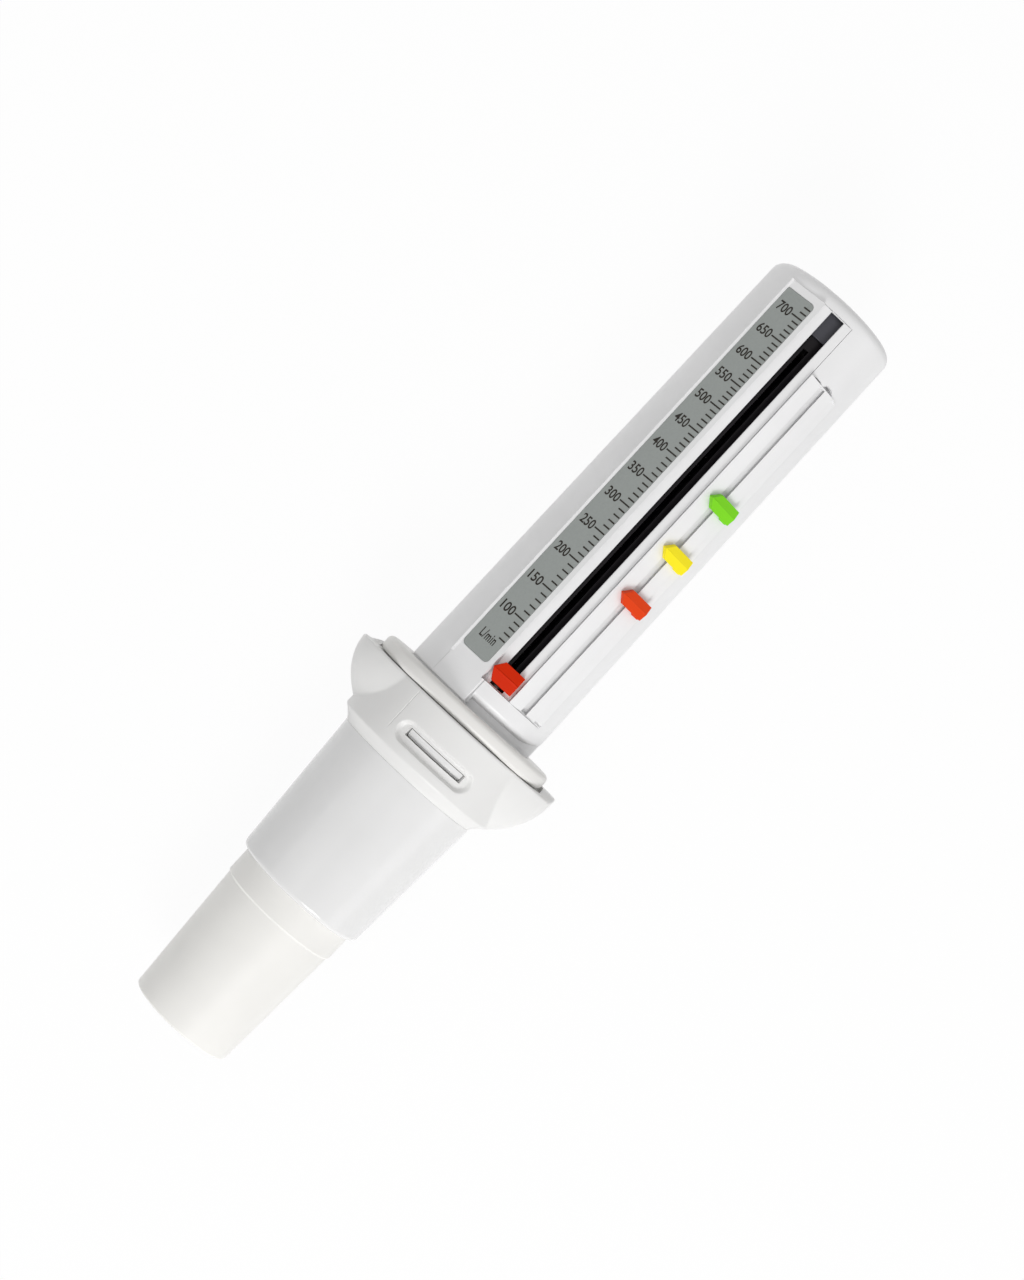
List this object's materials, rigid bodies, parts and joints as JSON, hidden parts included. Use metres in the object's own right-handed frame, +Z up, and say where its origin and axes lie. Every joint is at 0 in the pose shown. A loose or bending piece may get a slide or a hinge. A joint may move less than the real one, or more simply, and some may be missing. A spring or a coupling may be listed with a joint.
{
  "type": "peak flow meter",
  "caption": "Hand-held peak flow meter: tapered mouthpiece, barrel with a winged hand guard, and a closed body tube with a scale, a sliding pointer and zone markers on a rail.",
  "frame": {"origin": "bottom centre of the bounding box, on the surface that the meter lies on", "axes": "+X along the tube from the mouthpiece to the closed end; +Z up, out of the front of the scale; +Y towards the scale label's side"},
  "size_m": [0.2146, 0.0564, 0.0395],
  "materials": {
    "mouthpiece_ivory": "satin",
    "barrel_gloss_white": "glossy",
    "guard_white": "fine satin",
    "ring_white": "fine satin",
    "body_white": "fine satin",
    "panel_white": "satin",
    "label_grey_green": "printed film",
    "pointer_red": "satin",
    "clip_black": "satin",
    "marker_red": "satin",
    "marker_yellow": "satin",
    "marker_green": "satin",
    "tube_black": "glossy",
    "seal_rubber": "matt",
    "cap_grey": "satin",
    "inner_white": "satin",
    "bush_nylon": "satin",
    "steel": "polished"
  },
  "bodies": {
    "housing": {"barrel": "barrel_gloss_white", "hand_guard": "guard_white", "locking_ring": "ring_white", "body_shell": "body_white", "scale_plate": "panel_white", "scale_label": "label_grey_green", "pointer_track": "panel_white", "marker_track": "panel_white", "measuring_tube": "tube_black", "tube_seal": "seal_rubber", "tube_end_cap": "cap_grey", "guide_rod": "steel", "rod_nut": "steel", "rest_stop": "steel", "return_spring": "steel", "spring_anchor": "inner_white", "top_bumper": "seal_rubber"},
    "mouthpiece": {"mouthpiece": "mouthpiece_ivory"},
    "pointer": {"pointer": "pointer_red", "pointer_clip": "clip_black"},
    "red_marker": {"red_marker": "marker_red"},
    "yellow_marker": {"yellow_marker": "marker_yellow"},
    "green_marker": {"green_marker": "marker_green"},
    "piston": {"piston": "inner_white", "piston_bush": "bush_nylon"}
  },
  "joints": [
    {"name": "mouthpiece_pull", "type": "slide", "parent": "housing", "child": "mouthpiece", "axis": [-1, 0, 0], "range_m": [0, 0.03]},
    {"name": "pointer_slide", "type": "slide", "parent": "housing", "child": "pointer", "axis": [1, 0, 0], "range_m": [0, 0.1022]},
    {"name": "red_marker_slide", "type": "slide", "parent": "housing", "child": "red_marker", "axis": [1, 0, 0], "range_m": [-0.0315, 0.0044]},
    {"name": "yellow_marker_slide", "type": "slide", "parent": "housing", "child": "yellow_marker", "axis": [1, 0, 0], "range_m": [-0.0047, 0.0053]},
    {"name": "green_marker_slide", "type": "slide", "parent": "housing", "child": "green_marker", "axis": [1, 0, 0], "range_m": [-0.0053, 0.0314]},
    {"name": "piston_slide", "type": "slide", "parent": "housing", "child": "piston", "axis": [1, 0, 0], "range_m": [0, 0.097], "stiffness_N_per_m": 4, "springref_m": -0.02, "deforming": ["return_spring"]}
  ]
}
